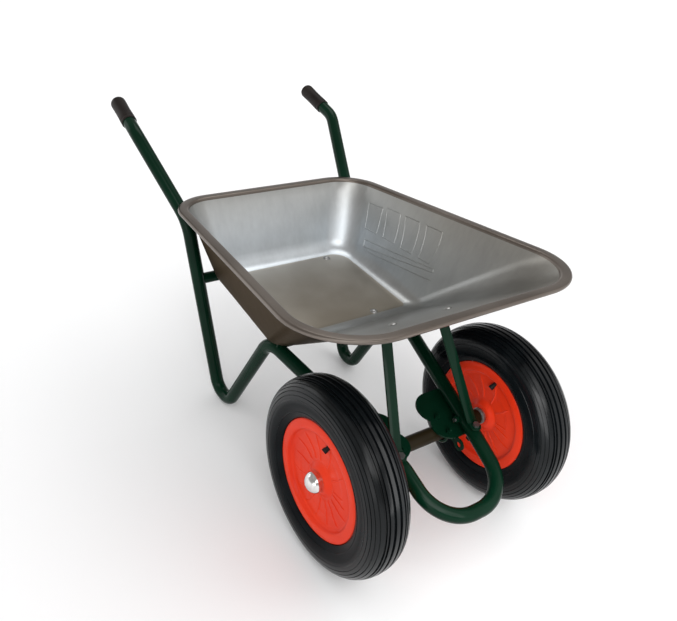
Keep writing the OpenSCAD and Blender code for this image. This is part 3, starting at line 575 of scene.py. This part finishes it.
# Pressed ribs as (angle at the boss, angle at the end, end radius), in degrees up from the line to the front
RIBS = ((10, 10, 0.071), (41, 46, 0.083), (73, 86, 0.0935), (104, 115, 0.0935), (125, 139, 0.0935),
        (147, 161, 0.0935), (176, 180, 0.085), (-2, -2, 0.080), (-21, -15, 0.0935), (-41, -39, 0.0935),
        (-57, -63, 0.0935), (-78, -88, 0.0935), (-100, -112, 0.0935), (-122, -136, 0.0935),
        (-147, -159, 0.0935))
RIB_START, RIB_HIGH, RIB_SHARP, RIB_SLOPE = 0.036, 0.0018, 0.0011, 0.007
# Part of the rim that takes the ribs: radii, and the offset past which a point is on the face
RIBBED, FACE_SIDE = (0.040, 0.095), 0.0235


def ribs_at(r):
    """Each rib that reaches a radius, as (angle of its crest, way that it slopes, how far it is raised)."""
    found = []
    for first, last, stop in RIBS:
        t = (r - RIB_START) / (stop - RIB_START)
        if 0 < t < 1:
            raised = min(1.0, 7 * t, 9 * (1 - t))
            found.append((first + (last - first) * t * t, 1 if first > 0 else -1, raised))
    return found


def press_ribs(bm, x, side):
    """Raises the ribs in the rim's face: each has a sharp front and a long slope behind its crest."""
    rows = {}
    for v in bm.verts:
        u, y, z = side * (v.co.x - x), AXLE_Y - v.co.y, v.co.z - AXLE_Z
        r = math.hypot(y, z)
        if RIBBED[0] < r < RIBBED[1] and u > FACE_SIDE:
            angle, lift = math.degrees(math.atan2(z, y)), 0.0
            for crest, way, raised in rows.setdefault(round(r, 4), ribs_at(r)):
                off = way * ((angle - crest + 180) % 360 - 180) * math.pi / 180 * r
                if -0.004 < off < 0.03:
                    sharp = math.exp(-(off / RIB_SHARP) ** 2)
                    slope = math.exp(-off / RIB_SLOPE) if off > 0 else sharp
                    lift += raised * (0.6 * sharp + 0.4 * slope)
            v.co.x += side * RIB_HIGH * min(lift, 1.3)


def make_wheel(body, x):
    bm = bmesh.new()
    spun(bm, tyre_profile(), x, TYRE_STEPS)
    tyre = body.replace("wheel", "tyre")
    link(tyre + "_carcass", bm, body, [tyre], [TYRE], 32)
    outward = -1 if x < 0 else 1
    for way, part in ((outward, "outer"), (-outward, "inner")):
        bm = bmesh.new()
        spun(bm, [(r, way * u) for r, u in rim_profile()], x, RIM_STEPS)
        press_ribs(bm, x, way)
        node = body.replace("wheel", "rim_" + part)
        link(node + "_pressing", bm, body, [node], [ORANGE], 45)


make_wheel("left_wheel", -TRACK / 2)
make_wheel("right_wheel", TRACK / 2)


# Struts

STRUT_WIDE, STRUT_THICK = 0.024, 0.004
STRUT_BOLT_Y, STRUT_TAB = -0.051, 0.014
STRUT_TOP_X, STRUT_TOP_Z, STRUT_SEAT = 0.069, 0.436, 0.0003
STRUT_BEND, STRUT_END, STRUT_SOFT = 0.007, 0.038, 0.0008
# Rounded edge of the strap, as cuts (in width, in thickness)
STRUT_EDGE = [(0.0, 0.0009), (0.00026, 0.00026), (0.0009, 0.0)]
# The loop's tube under a strut: rise, spread, x and height at the axle, and radius with the seat
TUBE_RISE, TUBE_SPREAD, TUBE_X, TUBE_UP, TUBE_SEAT = math.radians(8.2), 0.198, 0.108, 0.0352, 0.0151


def strut_rows():
    """The left strut from end to end, as (middle, way its face points, width)."""
    rise = math.tan(TUBE_RISE)
    along, above = Vector((0, 1, rise)).normalized(), Vector((0, -rise, 1)).normalized()
    tube_z = AXLE_Z + TUBE_UP / math.cos(TUBE_RISE)
    tube = Vector((-TUBE_X - TUBE_SPREAD * STRUT_BOLT_Y, STRUT_BOLT_Y, tube_z + rise * STRUT_BOLT_Y))
    foot = tube + above * (TUBE_SEAT + STRUT_THICK / 2)
    top_y = RIM_FRONT[1] + WALL_INSET - SHEET
    wall = Vector((0, top_y - FLOOR_FRONT[1], rim_z(top_y) - WALL_DROP_OUT - FLOOR_Z)).normalized()
    out = Vector((0, -wall.z, wall.y))
    on_wall = Vector((-STRUT_TOP_X, FLOOR_FRONT[1] + (STRUT_TOP_Z - FLOOR_Z) * wall.y / wall.z, STRUT_TOP_Z))
    head = on_wall + out * (STRUT_SEAT + STRUT_THICK / 2)
    start = foot + along * STRUT_TAB
    run = (head - start).normalized()
    face = Vector((0, -run.z, run.y)).normalized()
    rows = [(foot - along * (STRUT_WIDE / 2 * math.sin(a)), above, STRUT_WIDE * math.cos(a))
            for a in (1.52, 1.4, 1.2, 0.95, 0.7, 0.45, 0.2, 0)]
    for middle, back, ahead, a, b in ((start, along, run, above, face), (head, run, wall, face, out)):
        for k in range(9):
            t = k / 8
            at = middle - back * (STRUT_BEND * (1 - t) ** 2) + ahead * (STRUT_BEND * t ** 2)
            rows.append((at, a.lerp(b, t).normalized(), STRUT_WIDE))
    rows.append((head + wall * (STRUT_END - STRUT_SOFT), out, STRUT_WIDE))
    rows.append((head + wall * STRUT_END, out, STRUT_WIDE - 2 * STRUT_SOFT))
    return rows


def make_strut(side, node):
    """A flat strap with soft edges: a round tab on the loop, a run and a tab bent against the wall."""
    bands = []
    for centre, up, wide in strut_rows():
        ring = []
        for sw, st, flip in ((-1, -1, True), (1, -1, False), (1, 1, True), (-1, 1, False)):
            for bw, bt in STRUT_EDGE if flip else reversed(STRUT_EDGE):
                aside = Vector((sw * (wide / 2 - bw), 0, 0))
                ring.append(centre + aside + up * (st * (STRUT_THICK / 2 - bt)))
        bands.append(([Vector((-side * p.x, p.y, p.z)) for p in ring], 0))
    link(node + "_bar", loft(bands), "frame", [node], [GREEN], 40)


make_strut(-1, "left_strut")
make_strut(1, "right_strut")


# Grips

GRIP_STEPS = 56
# Outline of a grip as (radius, distance from its tip): domed end, waisted sleeve, collar and bore
GRIP_PROFILE = [
    (0.0000, 0.0), (0.0060, 0.0001), (0.0100, 0.0005), (0.0132, 0.0017), (0.0156, 0.0038), (0.0170, 0.0064),
    (0.0175, 0.0092), (0.0174, 0.0200), (0.0170, 0.0330), (0.0169, 0.0450), (0.0170, 0.0570),
    (0.0174, 0.0690), (0.0175, 0.0780), (0.0172, 0.0795), (0.0169, 0.0805), (0.0172, 0.0815),
    (0.0175, 0.0830), (0.0175, 0.0862), (0.0171, 0.0876), (0.0163, 0.0880), (0.0152, 0.0880),
    (0.0152, 0.0040), (0.0000, 0.0040)]


def make_grip(side, name):
    tip = placed(Vector((side * 0.263, 0.934, 0.576)))
    bend = placed(Vector((side * 0.269, 0.807, 0.550)))
    back = (bend - tip).normalized()
    across = back.cross(Vector((0, 0, 1))).normalized()
    bm = bmesh.new()
    verts = [bm.verts.new(tip + back * d + across * r) for r, d in GRIP_PROFILE]
    edges = [bm.edges.new((verts[k], verts[k + 1])) for k in range(len(verts) - 1)]
    bmesh.ops.spin(bm, geom=verts + edges, cent=tip, axis=back, angle=2 * math.pi, steps=GRIP_STEPS,
                   use_merge=True)
    link(name + "_sleeve", bm, "frame", [name], [GRIP], 50)


make_grip(-1, "left_grip")
make_grip(1, "right_grip")


# Finishes of the CAD parts that stay
FINISH = {
    GREEN: ["left_side_tube", "right_side_tube", "front_loop", "rear_cross_tube", "rear_brackets",
            "front_tray_bar", "left_axle_plate", "right_axle_plate", "u_bolts", "u_bolt_nuts", "strut_nuts",
            "joint_nuts"],
    AXLE: ["axle_tube"],
    TRAY_IN: ["strut_bolts"],
    STEEL: ["left_spindle", "right_spindle", "thrust_washers", "split_pins", "tray_bolts", "tray_nuts",
            "joint_bolts", "left_hub_sleeve", "right_hub_sleeve"],
    CHROME: ["left_hub_cap", "right_hub_cap"],
    VALVE: ["left_valve", "right_valve"],
    TUBE: ["left_inner_tube", "right_inner_tube"],
    NYLON: ["left_bushes", "right_bushes"],
}
for mat, names in FINISH.items():
    for name in names:
        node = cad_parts[name]
        for place in node.material_slots:
            place.material = mat


# Camera, floor and light

CAMERA_AT = (-0.8838, -1.09685, 1.2197)
CAMERA_AZIMUTH, CAMERA_HEIGHT, CAMERA_ROLL = math.radians(-40.2), math.radians(33.6), math.radians(10.4)


def make_camera():
    a, e, r = CAMERA_AZIMUTH, CAMERA_HEIGHT, CAMERA_ROLL
    back = Vector((math.sin(a) * math.cos(e), -math.cos(a) * math.cos(e), math.sin(e)))
    level = Vector((math.cos(a), math.sin(a), 0))
    upright = back.cross(level)
    right = level * math.cos(r) + upright * math.sin(r)
    up = upright * math.cos(r) - level * math.sin(r)
    data = bpy.data.cameras.new("photo_camera")
    data.sensor_fit = "HORIZONTAL"
    data.sensor_width = 36
    data.lens = 39.59
    data.clip_end = 200
    camera = put("photo_camera", data)
    turned = Matrix((right, up, back)).transposed().to_4x4()
    camera.matrix_world = Matrix.Translation(CAMERA_AT) @ turned
    bpy.context.scene.camera = camera


def make_floor():
    """A white floor, a little below the ground line."""
    half, below = 30, 0.0008
    bm = bmesh.new()
    bmesh.ops.create_grid(bm, x_segments=2, y_segments=2, size=half)
    bmesh.ops.translate(bm, verts=bm.verts, vec=(0, 0, -below))
    mesh = bpy.data.meshes.new("studio_floor")
    bm.to_mesh(mesh)
    bm.free()
    p = Paint("studio_floor_white", Base_Color=(0.96, 0.96, 0.96, 1), Roughness=0.9, Specular_IOR_Level=0.0)
    mesh.materials.append(p.mat)
    put("studio_floor", mesh)


def make_sun(name, towards, strength, angle):
    """A soft lamp that shines from a direction."""
    data = bpy.data.lights.new(name, "SUN")
    data.energy = strength
    data.angle = math.radians(angle)
    put(name, data).rotation_euler = Vector(towards).to_track_quat("Z", "Y").to_euler()


def make_low_lamp():
    """A soft lamp between the wheels, aimed at the right one, that opens the shade under the tray."""
    data = bpy.data.lights.new("low_lamp", "AREA")
    data.size = 0.30
    data.energy = 0.75
    lamp = put("low_lamp", data)
    at, aim = Vector((-0.05, -0.66, 0.40)), Vector((0.19, AXLE_Y, AXLE_Z))
    lamp.matrix_world = Matrix.Translation(at) @ (at - aim).to_track_quat("Z", "Y").to_matrix().to_4x4()
    lamp.visible_camera = False


def make_card(name, towards, distance, size, strength):
    """A white card that only shows as a reflection in gloss and metal."""
    centre = Vector((0, 0, 0.3))
    bm = bmesh.new()
    bmesh.ops.create_grid(bm, x_segments=1, y_segments=1, size=0.5)
    d = Vector(towards).normalized()
    place = Matrix.Translation(d * distance + centre) @ d.to_track_quat("Z", "Y").to_matrix().to_4x4()
    bmesh.ops.transform(bm, matrix=place @ Matrix.Diagonal((*size, 1, 1)), verts=bm.verts)
    mesh = bpy.data.meshes.new(name)
    bm.to_mesh(mesh)
    bm.free()
    mat = bpy.data.materials.new(name)
    mat.use_nodes = True
    nodes = mat.node_tree.nodes
    nodes.remove(nodes["Principled BSDF"])
    glow = nodes.new("ShaderNodeEmission")
    glow.inputs["Strength"].default_value = strength
    mat.node_tree.links.new(glow.outputs["Emission"], nodes["Material Output"].inputs["Surface"])
    mesh.materials.append(mat)
    card = put(name, mesh)
    for ray in ("camera", "diffuse", "shadow", "transmission", "volume_scatter"):
        setattr(card, "visible_" + ray, False)


def make_world():
    """White to the eye; gloss and metal see a pale room with a darker ceiling."""
    ceiling, room_low, room_fill = (0.40, 0.385, 0.37, 1), (0.98, 0.99, 1.0, 1), (0.90, 0.90, 0.905, 1)
    ceiling_from, ceiling_to = 0.03, 0.24
    world = bpy.data.worlds.new("studio_world")
    bpy.context.scene.world = world
    world.use_nodes = True
    nodes, links = world.node_tree.nodes, world.node_tree.links

    def mix(fac):
        node = nodes.new("ShaderNodeMix")
        node.data_type = "RGBA"
        links.new(fac, node.inputs["Factor"])
        return node

    sky = nodes["Background"]
    sky.inputs["Strength"].default_value = 1.0
    coords = nodes.new("ShaderNodeTexCoord")
    split = nodes.new("ShaderNodeSeparateXYZ")
    links.new(coords.outputs["Generated"], split.inputs[0])
    span = nodes.new("ShaderNodeMapRange")
    span.interpolation_type = "SMOOTHSTEP"
    span.inputs["From Min"].default_value = ceiling_to
    span.inputs["From Max"].default_value = ceiling_from
    links.new(split.outputs["Z"], span.inputs["Value"])
    room = mix(span.outputs["Result"])
    room.inputs[MIX_A].default_value = ceiling
    room.inputs[MIX_B].default_value = room_low
    path = nodes.new("ShaderNodeLightPath")
    fill = mix(path.outputs["Is Glossy Ray"])
    fill.inputs[MIX_A].default_value = room_fill
    links.new(room.outputs[MIX_OUT], fill.inputs[MIX_B])
    eye = nodes.new("ShaderNodeMath")
    eye.operation = "MAXIMUM"
    links.new(path.outputs["Is Camera Ray"], eye.inputs[0])
    links.new(path.outputs["Is Transmission Ray"], eye.inputs[1])
    final = mix(eye.outputs["Value"])
    final.inputs[MIX_B].default_value = (1, 1, 1, 1)
    links.new(fill.outputs[MIX_OUT], final.inputs[MIX_A])
    links.new(final.outputs[MIX_OUT], sky.inputs["Color"])


make_camera()
make_floor()
make_sun("key_lamp", (-0.35, -0.75, 0.95), 0.62, 35)
make_sun("fill_lamp", (0.75, -0.35, 0.75), 0.35, 50)
make_sun("side_lamp", (-0.85, -0.50, 0.20), 0.25, 30)
make_low_lamp()
make_card("top_card", (0.30, 0.42, 1.0), 3.0, (1.5, 1.5), 2.8)
make_card("front_card", (0.42, -0.80, 0.26), 3.2, (2.6, 1.5), 1.15)
make_card("high_card", (-0.2, -1.0, 1.1), 3.2, (2.0, 0.6), 2.2)
make_card("left_card", (-0.58, -0.58, 0.50), 3.2, (0.9, 0.8), 3.4)
make_card("window_card", (-0.58, 0.80, 0.26), 3.2, (1.4, 1.0), 1.6)
make_world()
bpy.context.scene.view_settings.view_transform = "Standard"
